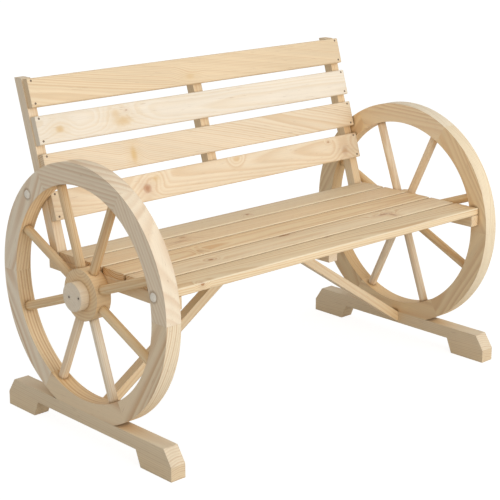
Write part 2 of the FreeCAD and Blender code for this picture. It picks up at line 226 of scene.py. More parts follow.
# %% [markdown]
# ## The floor
# A white floor alone would go grey in the corners. This one glows by itself, nearly to white, and the light
# that falls on it does the rest, so the bench still casts a light shadow. To the wood above it, it is an
# ordinary pale floor that throws back about half of the light.

# %% Floor
FLOOR_SIZE = 40.0
FLOOR_TILES = 4
FLOOR_BOUNCE = (0.56, 0.55, 0.53, 1.0)
FLOOR_SHARE = (0.3, 0.3, 0.3, 1.0)
FLOOR_GLOW = 0.87
floor_paint, floor_tree = empty_material("studio_floor")
bounce = put(floor_tree, "ShaderNodeBsdfDiffuse")
bounce.inputs["Color"].default_value = FLOOR_BOUNCE
shadow_share = put(floor_tree, "ShaderNodeBsdfDiffuse")
shadow_share.inputs["Color"].default_value = FLOOR_SHARE
glow = put(floor_tree, "ShaderNodeEmission")
glow.inputs["Strength"].default_value = FLOOR_GLOW
shown = put(floor_tree, "ShaderNodeAddShader")
feed(floor_tree, shown.inputs[0], shadow_share.outputs[0])
feed(floor_tree, shown.inputs[1], glow.outputs[0])
show(floor_tree, lit_or_seen(floor_tree, bounce, shown))

floor_sheet = bmesh.new()
bmesh.ops.create_grid(floor_sheet, x_segments=FLOOR_TILES, y_segments=FLOOR_TILES, size=FLOOR_SIZE / 2)
floor_mesh = bpy.data.meshes.new("floor")
floor_sheet.to_mesh(floor_mesh)
floor_sheet.free()
floor_mesh.materials.append(floor_paint)
floor = bpy.data.objects.new("floor", floor_mesh)
scene.collection.objects.link(floor)
print(f"floor {FLOOR_SIZE} m across")

# %% [markdown]
# ## The key lamp
# One large lamp stands in front of the bench, well above the seat. A small lamp would draw hard shadows of
# the spokes. This one is as wide as a window, so it models the round spokes and the eased edges of the
# slats without drawing lines, and lets the wheels' outer faces fall into shade.

# %% Key lamp
KEY_PLACE = Vector((0.15, -4.1, 1.4))
KEY_AIM = Vector((0.0, 0.0, 0.4))
KEY_WIDTH = 2.8
KEY_HEIGHT = 1.1
KEY_POWER = 68.0
KEY_TINT = (1.0, 0.975, 0.935)
key_data = bpy.data.lights.new("key_lamp", "AREA")
key_data.shape = "RECTANGLE"
key_data.size = KEY_WIDTH
key_data.size_y = KEY_HEIGHT
key_data.energy = KEY_POWER
key_data.color = KEY_TINT
key = bpy.data.objects.new("key_lamp", key_data)
key.location = KEY_PLACE
key.rotation_euler = (KEY_AIM - KEY_PLACE).to_track_quat("-Z", "Y").to_euler()
scene.collection.objects.link(key)
print(f"one lamp, {KEY_WIDTH} m wide, {KEY_POWER} W")

# %% [markdown]
# ## Pine, from the log outward
# A picture of wood wrapped round a board never matches at the corners. Real grain is solid: a tree grows
# in rings round its pith, pale in spring and darker in summer, and the saw cuts through them. So the
# shader builds the log, not the picture. It measures how far a point lies from the pith, counts rings,
# and gives each ring its own dark summer edge. Faces then show arches and lines, and ends show arcs.

# %% Rings of the log
RING_WANDER = (0.0, 0.016, 0.016)
WANDER_SPOTS = (1.7, 7.0, 7.0)
SUMMER_START = 0.1
SUMMER_PEAK = 0.74
THIN_YEAR = 0.45


def shader_group(name, takes, gives):
    """A node group with these inputs and outputs, and the sockets that bring its inputs."""
    group = bpy.data.node_groups.new(name, "ShaderNodeTree")
    for way, kinds in (("INPUT", takes), ("OUTPUT", gives)):
        for label, kind in kinds.items():
            group.interface.new_socket(name=label, in_out=way, socket_type=f"NodeSocket{kind}")
    return group, put(group, "NodeGroupInput").outputs


log, log_given = shader_group(
    "pine_log",
    {"Place": "Vector", "Ring": "Float", "Push": "Float", "Figure": "Float", "Streak": "Float",
     "Early": "Color", "Late": "Color"},
    {"Colour": "Color", "Height": "Float", "Rough": "Float"})
place = log_given["Place"]
wander = mottle(log, place, WANDER_SPOTS).outputs["Color"]
wander = vectors(log, "SUBTRACT", wander, (0.5, 0.5, 0.5))
wander = vectors(log, "MULTIPLY", wander, RING_WANDER)
across = vectors(log, "MULTIPLY", vectors(log, "ADD", place, wander), (0.0, 1.0, 1.0))
from_pith = vectors(log, "LENGTH", across)
count = maths(log, "ADD", maths(log, "DIVIDE", from_pith, log_given["Ring"]), log_given["Push"])
year = put(log, "ShaderNodeTexWhiteNoise", noise_dimensions="1D")
feed(log, year.inputs["W"], maths(log, "FLOOR", count))
season = maths(log, "FRACT", count)
darkening = ease(log, season, SUMMER_START, SUMMER_PEAK)
summer = maths(log, "MULTIPLY", darkening, ease(log, season, SUMMER_PEAK, 1.0, 1.0, 0.0))
summer = maths(log, "MULTIPLY", summer, ease(log, year.outputs["Value"], 0.0, 1.0, THIN_YEAR, 1.0))
summer = maths(log, "MULTIPLY", summer, log_given["Figure"])
print(f"rings in {len(log.nodes)} steps")

# %% [markdown]
# ## Fibres, streaks and flecks
# Between the rings, planed pine is never one colour. Fine fibres run with the grain, streaks of sap run
# through many boards, broad clouds come from the tree's growth, and short brown flecks are cut resin
# canals. Each is noise, stretched along the grain. Together they shade the two ring colours, and the
# fibres also give the surface its relief and its uneven shine.

# %% Fibres of the log
FIBRE_SPOTS = (16.0, 800.0, 800.0)
STREAK_SPOTS = (1.5, 75.0, 75.0)
CLOUD_SPOTS = (3.0, 10.0, 10.0)
FLECK_SPOTS = (24.0, 460.0, 460.0)
FLECK_SPAN = (0.68, 0.78)
FLECK_BROWN = paint("9A6B3C")
FLECK_DEPTH = 0.3
FIBRE_SHADE = 0.16
CLOUD_SHADE = 0.14
SUMMER_RISE = 0.5
FIBRE_RISE = 0.4
FLECK_PIT = 0.5
PLANED_ROUGH = 0.52
FIBRE_ROUGH = 0.18
SUMMER_SHINE = 0.08


def swing(noise, amount):
    """Noise round zero, as strong as the amount says."""
    return maths(log, "MULTIPLY", maths(log, "SUBTRACT", noise, 0.5), amount)


fibre = mottle(log, place, FIBRE_SPOTS).outputs[0]
streak = mottle(log, place, STREAK_SPOTS, detail=3.0).outputs[0]
cloud = mottle(log, place, CLOUD_SPOTS, detail=1.0).outputs[0]
fleck = ease(log, mottle(log, place, FLECK_SPOTS, detail=1.0).outputs[0], *FLECK_SPAN)

shade = maths(log, "ADD", swing(streak, log_given["Streak"]), swing(fibre, FIBRE_SHADE))
shade = maths(log, "ADD", shade, swing(cloud, CLOUD_SHADE))
shade = maths(log, "ADD", shade, 1.0)
colour = blend_colour(log, summer, log_given["Early"], log_given["Late"])
colour = vectors(log, "MULTIPLY", colour, shade)
colour = blend_colour(log, maths(log, "MULTIPLY", fleck, FLECK_DEPTH), colour, FLECK_BROWN)

height = maths(log, "MULTIPLY_ADD", fibre, FIBRE_RISE, maths(log, "MULTIPLY", summer, SUMMER_RISE))
height = maths(log, "SUBTRACT", height, maths(log, "MULTIPLY", fleck, FLECK_PIT))
rough = maths(log, "MULTIPLY_ADD", fibre, FIBRE_ROUGH, PLANED_ROUGH)
rough = maths(log, "SUBTRACT", rough, maths(log, "MULTIPLY", summer, SUMMER_SHINE))
fill(log, put(log, "NodeGroupOutput"), {"Colour": colour, "Height": height, "Rough": rough})
print(f"pine log of {len(log.nodes)} steps")

# %% [markdown]
# ## Knots
# A knot is a branch that the trunk grew round. Seen on a board it is a dark plug with rings of its own,
# and the grain bows past it like water past a post. The shader needs only the distance from the branch,
# counted in knot radii and made a little ragged. The first half of the knot pushes the rings aside.

# %% Bowed grain
BRANCH_SPOTS = (140.0, 140.0, 40.0)
BRANCH_RAGGED = 0.5
BOW_RINGS = 2.6
BOW_REACH = 4.5
bow, bow_given = shader_group(
    "knot_bow",
    {"Board": "Vector", "Centre": "Vector", "Reach": "Vector", "Push": "Float"},
    {"Away": "Float", "Push": "Float"})
aside = vectors(bow, "SUBTRACT", bow_given["Board"], bow_given["Centre"])
aside = vectors(bow, "DIVIDE", aside, bow_given["Reach"])
ragged = maths(bow, "SUBTRACT", mottle(bow, bow_given["Board"], BRANCH_SPOTS).outputs[0], 0.5)
away = maths(bow, "MULTIPLY_ADD", ragged, BRANCH_RAGGED, vectors(bow, "LENGTH", aside))
push = maths(bow, "ADD", bow_given["Push"], ease(bow, away, 0.0, BOW_REACH, BOW_RINGS, 0.0))
fill(bow, put(bow, "NodeGroupOutput"), {"Away": away, "Push": push})
print(f"bowed grain of {len(bow.nodes)} steps")

# %% [markdown]
# ## The plug of a knot
# The second half colours the plug. A sound knot has growth ripples and a dark rim of bark with a crisp
# edge, while a resin stain fades out softly. One number, the edge, goes from the stain to the knot, so the
# same steps serve for both. At 1.0 knot radius lies the rim of the plug.

# %% Knot plug
RIPPLES = 16.0
RIPPLE_DEPTH = 0.12
BARK_START = 0.6
BARK_END = 1.35
BARK_DEPTH = 0.35
SOFT_SPAN = (0.1, 1.5)
CRISP_SPAN = (0.7, 1.15)
HALO_SPAN = (0.8, 3.2)
HALO_DEPTH = 0.2
plug, plug_given = shader_group(
    "knot_plug",
    {"Away": "Float", "Colour": "Color", "Plug": "Color", "Depth": "Float", "Edge": "Float"},
    {"Colour": "Color"})
away = plug_given["Away"]
ripple = maths(plug, "MULTIPLY", maths(plug, "SINE", maths(plug, "MULTIPLY", away, RIPPLES)), RIPPLE_DEPTH)
bark = maths(plug, "MULTIPLY", ease(plug, away, BARK_START, 1.0), ease(plug, away, 1.0, BARK_END, 1.0, 0.0))
darker = maths(plug, "SUBTRACT", ripple, maths(plug, "MULTIPLY", bark, BARK_DEPTH))
darker = maths(plug, "MULTIPLY_ADD", darker, plug_given["Edge"], 1.0)
soft = ease(plug, away, *SOFT_SPAN, 1.0, 0.0)
crisp = ease(plug, away, *CRISP_SPAN, 1.0, 0.0)
cover = maths(plug, "MULTIPLY_ADD", maths(plug, "SUBTRACT", crisp, soft), plug_given["Edge"], soft)
cover = maths(plug, "MAXIMUM", cover, ease(plug, away, *HALO_SPAN, HALO_DEPTH, 0.0))
cover = maths(plug, "MULTIPLY", cover, plug_given["Depth"])
inside = vectors(plug, "MULTIPLY", plug_given["Plug"], darker)
stained = blend_colour(plug, cover, plug_given["Colour"], inside)
fill(plug, put(plug, "NodeGroupOutput"), {"Colour": stained})
print(f"knot plug of {len(plug.nodes)} steps")

# %% [markdown]
# ## Which way the grain runs
# A joiner lays every piece with the grain along its length, so the grain direction can be read from the
# piece itself: it is the direction in which its corner points spread most. Turned discs are the
# exception. They are cut across a round pole, so their grain runs along the axle.

# %% Grain of a piece
AXLE = Vector((1.0, 0.0, 0.0))


def corner_points(name):
    """All corner points of a piece, one to a row."""
    points = np.empty(len(nodes[name].data.vertices) * 3)
    nodes[name].data.vertices.foreach_get("co", points)
    return points.reshape(-1, 3)


def board_frame(name, face, turned=False):
    """The piece's middle, and the turn that lays its grain along X and its broad face along Z."""
    low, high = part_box(name)
    middle = (low + high) / 2
    grain = AXLE.copy()
    if not turned:
        points = corner_points(name) - np.array(middle)
        grain = Vector(np.linalg.svd(points, full_matrices=False)[2][0])
    if max(grain, key=abs) < 0:
        grain = -grain
    face = Vector(face)
    face = (face - face.dot(grain) * grain).normalized()
    return middle, Matrix((grain, face.cross(grain), face))


def half_size(name, middle, turn):
    """Half the piece's length, width and thickness, measured along its own grain."""
    spread = (corner_points(name) - np.array(middle)) @ np.array(turn).T
    return Vector(spread.max(axis=0))


up_the_back = board_frame("left_back_upright", (0, -1, 0))[1][0]
BACK_FACE = AXLE.cross(up_the_back)
print(f"the back leans {math.degrees(math.atan2(up_the_back.y, up_the_back.z)):.1f} degrees")

# %% [markdown]
# ## A board in the log
# The saw took each board from some place in the log. Two turns go back there: the first from the bench to
# the board, the second from the board to the log. Knots are placed on the board, because that is where
# they are seen, and each one hands its push on to the rings.

# %% Place and knots
def on_board(tree, spot, frame_of):
    """Where a point of the surface lies along, across and through its board."""
    middle, turn = frame_of
    board = put(tree, "ShaderNodeMapping")
    feed(tree, board.inputs["Vector"], spot.outputs["Object"])
    board.inputs["Rotation"].default_value = turn.to_euler()
    board.inputs["Location"].default_value = -(turn @ middle)
    return board.outputs["Vector"]


def in_the_log(tree, board, log_place, slope):
    """Where that point lay in the log, before the saw."""
    in_log = put(tree, "ShaderNodeMapping")
    feed(tree, in_log.inputs["Vector"], board)
    in_log.inputs["Rotation"].default_value = (0.0, math.radians(slope[0]), math.radians(slope[1]))
    in_log.inputs["Location"].default_value = log_place
    return in_log.outputs["Vector"]


def knotted(tree, board, wood, knots):
    """The wood's colour with its knots, which also push its rings aside."""
    push = 0.0
    colour = wood.outputs["Colour"]
    for centre, reach, depth, plug_colour, edge in knots:
        branch = put(tree, "ShaderNodeGroup", node_tree=bow)
        fill(tree, branch, {"Board": board, "Centre": centre, "Reach": reach, "Push": push})
        push = branch.outputs["Push"]
        stain = put(tree, "ShaderNodeGroup", node_tree=plug)
        fill(tree, stain, {"Away": branch.outputs["Away"], "Colour": colour, "Plug": plug_colour,
                           "Depth": depth, "Edge": edge})
        colour = stain.outputs["Colour"]
    feed(tree, wood.inputs["Push"], push)
    return colour


print("boards can be laid in the log")

# %% [markdown]
# ## Painted shade and dirt
# Where other wood stands round a point, the shader paints it warmer and a little darker: painted shade,
# warmed as by bounce light from that wood. In the joints and gaps it paints brown, partly dirt and partly
# painted shade where the pieces meet. Both are the same question to the shader: how much of the open does
# a point see, far out for the shelter, close by for the joints?

# %% Painted shade and dirt
SHELTER_REACH = 220 * MM
SHELTER_SPAN = (0.35, 0.95)
SHELTER_SHADE_TINT = (0.96, 0.88, 0.74)
CREVICE_REACH = 10 * MM
DIRT_AND_SHADE_BROWN = paint("7C5A36")
OPEN_SAMPLES = 6


def openness(tree, reach):
    """1 in the open, towards 0 where other wood stands round closer than the reach."""
    made = put(tree, "ShaderNodeAmbientOcclusion", samples=OPEN_SAMPLES)
    made.inputs["Distance"].default_value = reach
    return made.outputs["AO"]


def painted_shade_and_dirt(tree, colour, shade_and_dirt):
    """Painted warm shade where other wood stands round, and dirt with painted shade in the joints. The last
    argument gives the joints' depth, and where it starts and ends.
    """
    # Painted warm shade where other wood stands round, as bounce light from that wood would warm it.
    sheltered = ease(tree, openness(tree, SHELTER_REACH), *SHELTER_SPAN, 1.0, 0.0)
    colour = blend_colour(tree, sheltered, colour, vectors(tree, "MULTIPLY", colour, SHELTER_SHADE_TINT))
    deep, dark_at, clear_at = shade_and_dirt
    # Dirt and painted contact shade in the joints and gaps.
    dirt_and_shade_depth = ease(tree, openness(tree, CREVICE_REACH), dark_at, clear_at, deep, 0.0)
    return blend_colour(tree, dirt_and_shade_depth, colour, DIRT_AND_SHADE_BROWN)


# The dirt reach below is also the reach of the painted shade in the joints.
print(f"shelter felt to {SHELTER_REACH:.2f} m, dirt to {CREVICE_REACH:.2f} m")

# %% [markdown]
# ## Worn and highlit edges, and relief
# Hands and sandpaper take the sharpness off every edge, or arris, and leave it paler. The pale edge is
# partly that wear and partly a painted highlight, the light that a rounded edge catches. The shader finds
# edges by comparing the flat surface with a slightly rounded one. Fine relief, such as the fibres, is then
# laid over that rounded surface. The same two steps serve for wood and for steel.

# %% Edges and relief
EDGE_SAMPLES = 4
EDGE_BEND = (0.02, 0.25)
ARRIS_WEAR_AND_HIGHLIGHT = paint("F8EBD0")


def worn_and_highlit_edges(tree, colour, radius, wear_and_highlight, pale):
    """The colour with its edges rubbed pale and painted as highlights, and the surface with its edges
    rounded.
    """
    rounded = put(tree, "ShaderNodeBevel", samples=EDGE_SAMPLES)
    rounded.inputs["Radius"].default_value = radius
    flat = put(tree, "ShaderNodeNewGeometry").outputs["Normal"]
    bend = maths(tree, "SUBTRACT", 1.0, vectors(tree, "DOT_PRODUCT", rounded.outputs[0], flat))
    colour = blend_colour(tree, ease(tree, bend, *EDGE_BEND, 0.0, wear_and_highlight), colour, pale)
    return colour, rounded.outputs[0]


def relief(tree, height, strength, distance, under):
    """A surface with this height laid over it."""
    raised = put(tree, "ShaderNodeBump")
    raised.inputs["Strength"].default_value = strength
    raised.inputs["Distance"].default_value = distance
    fill(tree, raised, {"Height": height, "Normal": under})
    return raised.outputs[0]


print("edges and relief ready")

# %% [markdown]
# ## The seat slats' edges
# The seat is the part that is sat on, and its boards are worn most along their long edges. The joinery has
# the eased edge and the sanding further down rounds it. What is left for the finish is the last, slow
# fall of the top towards the edge, and a painted highlight: a pale line along the front of each board's
# top, where the front edge would catch the light.

# %% Rolled edges
ROLL_FALL = 0.25
FRONT_HIGHLIGHT = 0.75
FRONT_SHARE = 0.6
FACING_UP = (0.3, 0.6)


def rolled_edges(tree, board, half_width, roll, under):
    """Lets the top fall away gently towards both long edges, over the width of the roll."""
    out = maths(tree, "ABSOLUTE", vectors(tree, "DOT_PRODUCT", board, (0.0, 1.0, 0.0)))
    past = maths(tree, "MAXIMUM", maths(tree, "SUBTRACT", out, half_width - roll), 0.0)
    fall = maths(tree, "MULTIPLY", maths(tree, "MULTIPLY", past, past), -ROLL_FALL / roll)
    return relief(tree, fall, strength=1.0, distance=1.0, under=under)


def painted_front_highlight(tree, colour, board, spot, facing, half_width, roll):
    """A painted highlight: a pale line along the front edge of a board's top."""
    across = vectors(tree, "DOT_PRODUCT", board, (0.0, 1.0, 0.0))
    upper = vectors(tree, "DOT_PRODUCT", spot.outputs["Normal"], facing)
    front = ease(tree, across, -half_width, FRONT_SHARE * roll - half_width, FRONT_HIGHLIGHT, 0.0)
    front = maths(tree, "MULTIPLY", front, ease(tree, upper, *FACING_UP))
    return blend_colour(tree, front, colour, ARRIS_WEAR_AND_HIGHLIGHT)


print("seat edges ready")

# %% [markdown]
# ## The rims' curves and screws
# A felloe is sawn to a curve across its grain. Its bore, which faces the axle, is painted a little darker
# and warmer than the flat faces: painted shade, warmed as by bounce light from the wood round it. Its
# tread outside may be painted paler and cooler, as the open sky lights it. The shader tells a curve by the
# way its surface faces, so one finish serves the whole felloe. Round the heads of the coach screws a brown
# ring is painted: the heads' shadow on the wood. The heads' places are read from the joinery.

# %% Rim finish
CURVE_SPAN = (0.5, 0.9)
HEAD_RADIUS = 10.5 * MM
HEAD_SHADOW_RADIUS = 1.7 * HEAD_RADIUS
HEAD_SHADOW_DEPTH = 0.45
WHEEL_MIDDLE = (0.0, 0.0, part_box("left_felloe_1")[0].z)
RIM_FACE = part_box("right_felloe_1")[1].x
screw_points = corner_points("coach_screws")
crowns = screw_points[np.abs(screw_points[:, 0]) > RIM_FACE + MM]
HEADS = [crowns[(crowns[:, 1] < 0) == front].mean(axis=0) for front in (True, False)]


def painted_curve_light(tree, spot, colour, bore_bounce, tread_light):
    """Tints the curves of a felloe by the way they face: painted warm shade on its bore, which faces the
    axle, and painted sky light on its tread, which faces away.
    """
    arm = vectors(tree, "SUBTRACT", spot.outputs["Object"], WHEEL_MIDDLE)
    arm = vectors(tree, "NORMALIZE", vectors(tree, "MULTIPLY", arm, (0.0, 1.0, 1.0)))
    outward = vectors(tree, "DOT_PRODUCT", spot.outputs["Normal"], arm)
    clear, full = CURVE_SPAN
    on_bore = ease(tree, outward, -full, -clear, 1.0, 0.0)
    on_tread = ease(tree, outward, clear, full)
    colour = blend_colour(tree, on_bore, colour, vectors(tree, "MULTIPLY", colour, bore_bounce))
    return blend_colour(tree, on_tread, colour, vectors(tree, "MULTIPLY", colour, tread_light))


def painted_head_shadows(tree, board, frame_of, colour):
    """A painted shadow ring round each steel screw head, on the wood round it."""
    middle, turn = frame_of
    for _, y, z in HEADS:
        centre = turn @ (Vector((middle.x, y, z)) - middle)
        aside = vectors(tree, "MULTIPLY", vectors(tree, "SUBTRACT", board, centre), (1.0, 1.0, 0.0))
        away = vectors(tree, "LENGTH", aside)
        # stain here is the depth of the painted shadow round the head.
        stain = ease(tree, away, HEAD_RADIUS, HEAD_SHADOW_RADIUS, HEAD_SHADOW_DEPTH, 0.0)
        colour = blend_colour(tree, stain, colour, DIRT_AND_SHADE_BROWN)
    return colour


print(f"screw heads at {[round(float(z), 3) for _, _, z in HEADS]} m above the ground")

# %% [markdown]
# ## The pine finish
# Now the steps come together. Each piece gets a finish of its own: where its saw cut lay in the log, how
# wide the rings are, how warm the wood. The rest is the same for all: ends a little darker and with a
# stronger figure, painted warm shade in shelter, dirt and painted shade in the joints, arrises rubbed pale
# and painted as highlights, a faint relief along the fibres, and the dull shine of planed, unvarnished
# softwood.

# %% Pine finish
END_SHADE = 0.97
END_SHADE_SPAN = (0.5, 0.95)
END_FIGURE = 1.8
END_FIGURE_SPAN = (0.4, 0.9)
RELIEF_STRENGTH = 0.35
RELIEF_DEPTH = 0.4 * MM
WOOD_SHINE = 0.32


def pine(name, frame_of, half_width, log_place, slope, ring, figure, streak, early, late,
         arris=3.0, wear_and_highlight=0.45, shade_and_dirt=(0.4, 0.2, 0.7), roll=0.0, curve_light=None, knots=()):
    """Pine for one piece. Lengths are in metres, arris and roll in millimetres, slope in degrees."""
    turn = frame_of[1]
    finish, tree = empty_material(f"pine_{name}")
    spot = put(tree, "ShaderNodeTexCoord")
    board = on_board(tree, spot, frame_of)
    along = maths(tree, "ABSOLUTE", vectors(tree, "DOT_PRODUCT", spot.outputs["Normal"], tuple(turn[0])))
    wood = put(tree, "ShaderNodeGroup", node_tree=log)
    fill(tree, wood, {
        "Place": in_the_log(tree, board, log_place, slope), "Ring": ring, "Streak": streak,
        "Figure": ease(tree, along, *END_FIGURE_SPAN, figure, figure * END_FIGURE),
        "Early": early, "Late": late,
    })
    colour = knotted(tree, board, wood, knots)
    colour = vectors(tree, "MULTIPLY", colour, ease(tree, along, *END_SHADE_SPAN, 1.0, END_SHADE))
    # On a felloe: painted bounce light on its bore and painted sky light on its tread.
    if curve_light:
        colour = painted_curve_light(tree, spot, colour, *curve_light)
        # Painted shadows round the coach screw heads.
        colour = painted_head_shadows(tree, board, frame_of, colour)
    # Painted warm shade in shelter, and dirt with painted shade in the joints.
    colour = painted_shade_and_dirt(tree, colour, shade_and_dirt)
    # Edges worn pale and painted as highlights.
    colour, shaped = worn_and_highlit_edges(tree, colour, arris * MM, wear_and_highlight, ARRIS_WEAR_AND_HIGHLIGHT)
    # A painted highlight along the front edge of the seat slats.
    if roll:
        colour = painted_front_highlight(tree, colour, board, spot, tuple(turn[2]), half_width, roll * MM)
        shaped = rolled_edges(tree, board, half_width, roll * MM, shaped)

    surface = put(tree, "ShaderNodeBsdfPrincipled")
    surface.inputs["Specular IOR Level"].default_value = WOOD_SHINE
    fill(tree, surface, {
        "Base Color": colour, "Roughness": wood.outputs["Rough"],
        "Normal": relief(tree, wood.outputs["Height"], RELIEF_STRENGTH, RELIEF_DEPTH, shaped),
    })
    show(tree, surface)
    return finish


def dress(name, finish):
    """Gives a piece of the joinery its finish."""
    nodes[name].material_slots[0].material = finish


print("pine finish ready")

# %% [markdown]
# ## Tones of pine
# Pine from one yard still differs from board to board, and one colour for all would look printed. Each
# tone is a pair, the spring wood and the darker summer wood of a ring. The slats are pale and warm, the
# runners dull, the spokes more golden.

# %% Tones
def tones(early, late):
    """The spring and the summer colour of one wood."""
    return {"early": paint(early), "late": paint(late)}


WARM = tones("F2DEBE", "D5A66B")
BOARD = tones("EEDABA", "CE9E64")
PALE = tones("F5EBDB", "E2C9A0")
CREAM = tones("F0E0C7", "D2A871")
PLAIN = tones("F4E4CC", "CFA67C")
LIGHT = tones("F7E9D3", "D2AA80")
HONEY = tones("F3DCB7", "CEA06F")
TAN = tones("F0DCBE", "CBA072")
BROWN = tones("E8CFA8", "C48F58")
DULL = tones("EBDCC3", "C39A71")
CAP = tones("F7EBD8", "DDBD90")
SPOKE = tones("F4DCB4", "CF9A5C")
PALE_SPOKE = tones("F7E8D0", "D6AC7E")
ORANGE = tones("F4DAB3", "CE9A60")
print("tones of pine mixed")

# %% [markdown]
# ## Wood for every kind of piece
# The slats are planed, pale boards. The wheels' felloes are cut from thicker, plainer planks, the runners
# from duller stock. For each kind the list gives its broad face, the width of its rings in millimetres and
# how strong their figure is. Some kinds also say how far from the pith their wood is taken, how pale their
# edges are from wear and painted highlight, or how much dirt and painted shade their joints take. A list is
# easier to tune than a finish written out for every kind.

# %% Kinds of wood
# The joint darkening in these kinds is partly dirt and partly painted shade where pieces meet.
FELLOE = {"face": (1, 0, 0), "aside": (-25, 25), "below": (75, 120), "arris": 1.2, "wear_and_highlight": 0.15,
          "shade_and_dirt": (0.65, 0.4, 0.97)}
# The bore tints are painted shade warmed by bounce light; the tread tints are painted paler, cooler sky
# light.
WARM_BORE_BOUNCE = (1.03, 0.95, 0.8)
DULL_BORE_BOUNCE = (1.0, 0.95, 0.85)
PLAIN_TREAD = (1.0, 1.0, 1.0)
PALE_TREAD_LIGHT = (1.03, 1.08, 1.12)
COOL_TREAD_LIGHT = (1.0, 1.09, 1.22)
KINDS = {
    # For the seat slats the joint darkening is strong: it paints the shadow in the gaps between them.
    "seat_slat": {"face": (0, 0, 1), "ring": 4.5, "figure": 0.57, "wear_and_highlight": 0.1, "roll": 8.0,
                  "shade_and_dirt": (1.0, 0.36, 0.56), **WARM},
    "back_slat": {"face": BACK_FACE, "ring": 4.0, "figure": 0.45, **BOARD},
    "seat_rail": {"face": (1, 0, 0), "ring": 4.5, "figure": 0.3, **WARM},
    "middle_bearer": {"face": (1, 0, 0), "ring": 4.5, "figure": 0.3, **WARM},
    "knee_brace": {"face": (0, 1, 0), "ring": 4.5, "figure": 0.35, **WARM},
    "back_upright": {"face": (0, -1, 0), "ring": 4.0, "figure": 0.35, **WARM},
    "middle_batten": {"face": (0, -1, 0), "ring": 4.0, "figure": 0.35, **WARM},
    "left_felloe": {**FELLOE, "ring": 5.0, "figure": 0.55, "curve_light": (WARM_BORE_BOUNCE, PLAIN_TREAD), **PLAIN},
    "right_felloe": {**FELLOE, "ring": 4.0, "figure": 0.5, "curve_light": (DULL_BORE_BOUNCE, COOL_TREAD_LIGHT), **HONEY},
    "spoke": {"face": (1, 0, 0), "ring": 4.0, "figure": 0.5, "shade_and_dirt": (0.75, 0.35, 0.9), **SPOKE},
    "hub_cap": {"face": (0, 0, 1), "ring": 3.0, "figure": 0.25, **CAP},
    "hub": {"face": (0, 0, 1), "ring": 6.5, "figure": 0.2, "shade_and_dirt": (0.5, 0.3, 0.9), **ORANGE},
    "runner": {"face": (1, 0, 0), "ring": 4.6, "figure": 0.26, "aside": (75, 110), "below": (4, 14),
               **DULL},
    "wheel_tongues": {"face": (0, 1, 0), "ring": 4.0, "figure": 0.4, **DULL},
}
TURNED = ("hub", "hub_cap")


def kind_of(name):
    """The first kind whose name is part of the piece's name."""
    return next((kind for kind in KINDS if kind in name), None)


print(f"{len(KINDS)} kinds of piece")

# %% [markdown]
# ## No two boards alike
# Every piece draws its own place in the log. An open draw would change the wood each time the lesson is
# run, so the draw is seeded with the piece's name: no two boards match, and yet each one stays the same.

# %% Drawing the wood
GRAIN_DIP = 1.2
GRAIN_DRIFT = 2.0
STREAKS = (0.08, 0.16)
ASIDE = (-60, 60)
BELOW = (30, 80)
LOG_REACH = 9
RING_SPREAD = (0.85, 1.2)


def wood_for(name, **chosen):
    """Pine for a piece of its kind, with any looks that were chosen for that piece."""
    kind = kind_of(name)
    draw = random.Random(name)
    looks = {
        "slope": (draw.uniform(-GRAIN_DIP, GRAIN_DIP), draw.uniform(-GRAIN_DRIFT, GRAIN_DRIFT)),
        "streak": draw.uniform(*STREAKS),
        "aside": ASIDE,
        "below": BELOW,
        **KINDS[kind],
    }
    aside = draw.uniform(*looks.pop("aside")) * MM
    below = draw.uniform(*looks.pop("below")) * MM * draw.choice((-1, 1))
    looks["log_place"] = (draw.uniform(-LOG_REACH, LOG_REACH), aside, below)
    looks.update(chosen)
    looks["ring"] *= MM * draw.uniform(*RING_SPREAD)
    frame_of = board_frame(name, looks.pop("face"), kind in TURNED)
    return pine(name, frame_of, half_size(name, *frame_of).y, **looks)


print("boards are drawn by name")

# %% [markdown]
# ## Marks on the boards
# A mark is a stain or a knot that goes right through a board. Its place is read along the board from its
# middle, and upward, or backward on the seat, from its centre line. A knot that shows only at an edge is a
# small ball instead, and a filled nail hole runs along the grain of a hub cap.

# %% Marks
KNOT_BROWN = paint("AE7647")
PINK_BROWN = paint("B88260")
RESIN = paint("DDB877")
SCORCH = paint("4A3724")
THROUGH = 1.0e3
HOLE_RADIUS = 2.7 * MM


def mark(along, across, long, wide, depth, colour, edge=0.0):
    """A stain right through a board, in millimetres, or with an edge of 1 a sharp knot."""
    return (along * MM, across * MM, 0.0), (long * MM, wide * MM, THROUGH), depth, colour, edge


def edge_knot(along, across, level, size, depth, colour):
    """A small round knot that shows only at one edge of a board, in millimetres."""
    return (along * MM, across * MM, level * MM), (size * MM, size * MM, size * MM), depth, colour, 0.5


def nail_hole(back, up):
    """A filled nail hole in a hub cap, so many millimetres back and up from the axle."""
    return (0.0, back * MM, up * MM), (THROUGH, HOLE_RADIUS, HOLE_RADIUS), 1.0, SCORCH, 1.0


print("marks ready")

# %% [markdown]
# ## The back, board by board
# The back is what is seen first, so its four boards are chosen one by one: grain that runs aslant, a
# nearly white slat with resin stains, strong slanting lines, and a pink knot with arching grain below.
# They could be left to the draw, but a knot changes a board at a glance, so each mark has its own place.

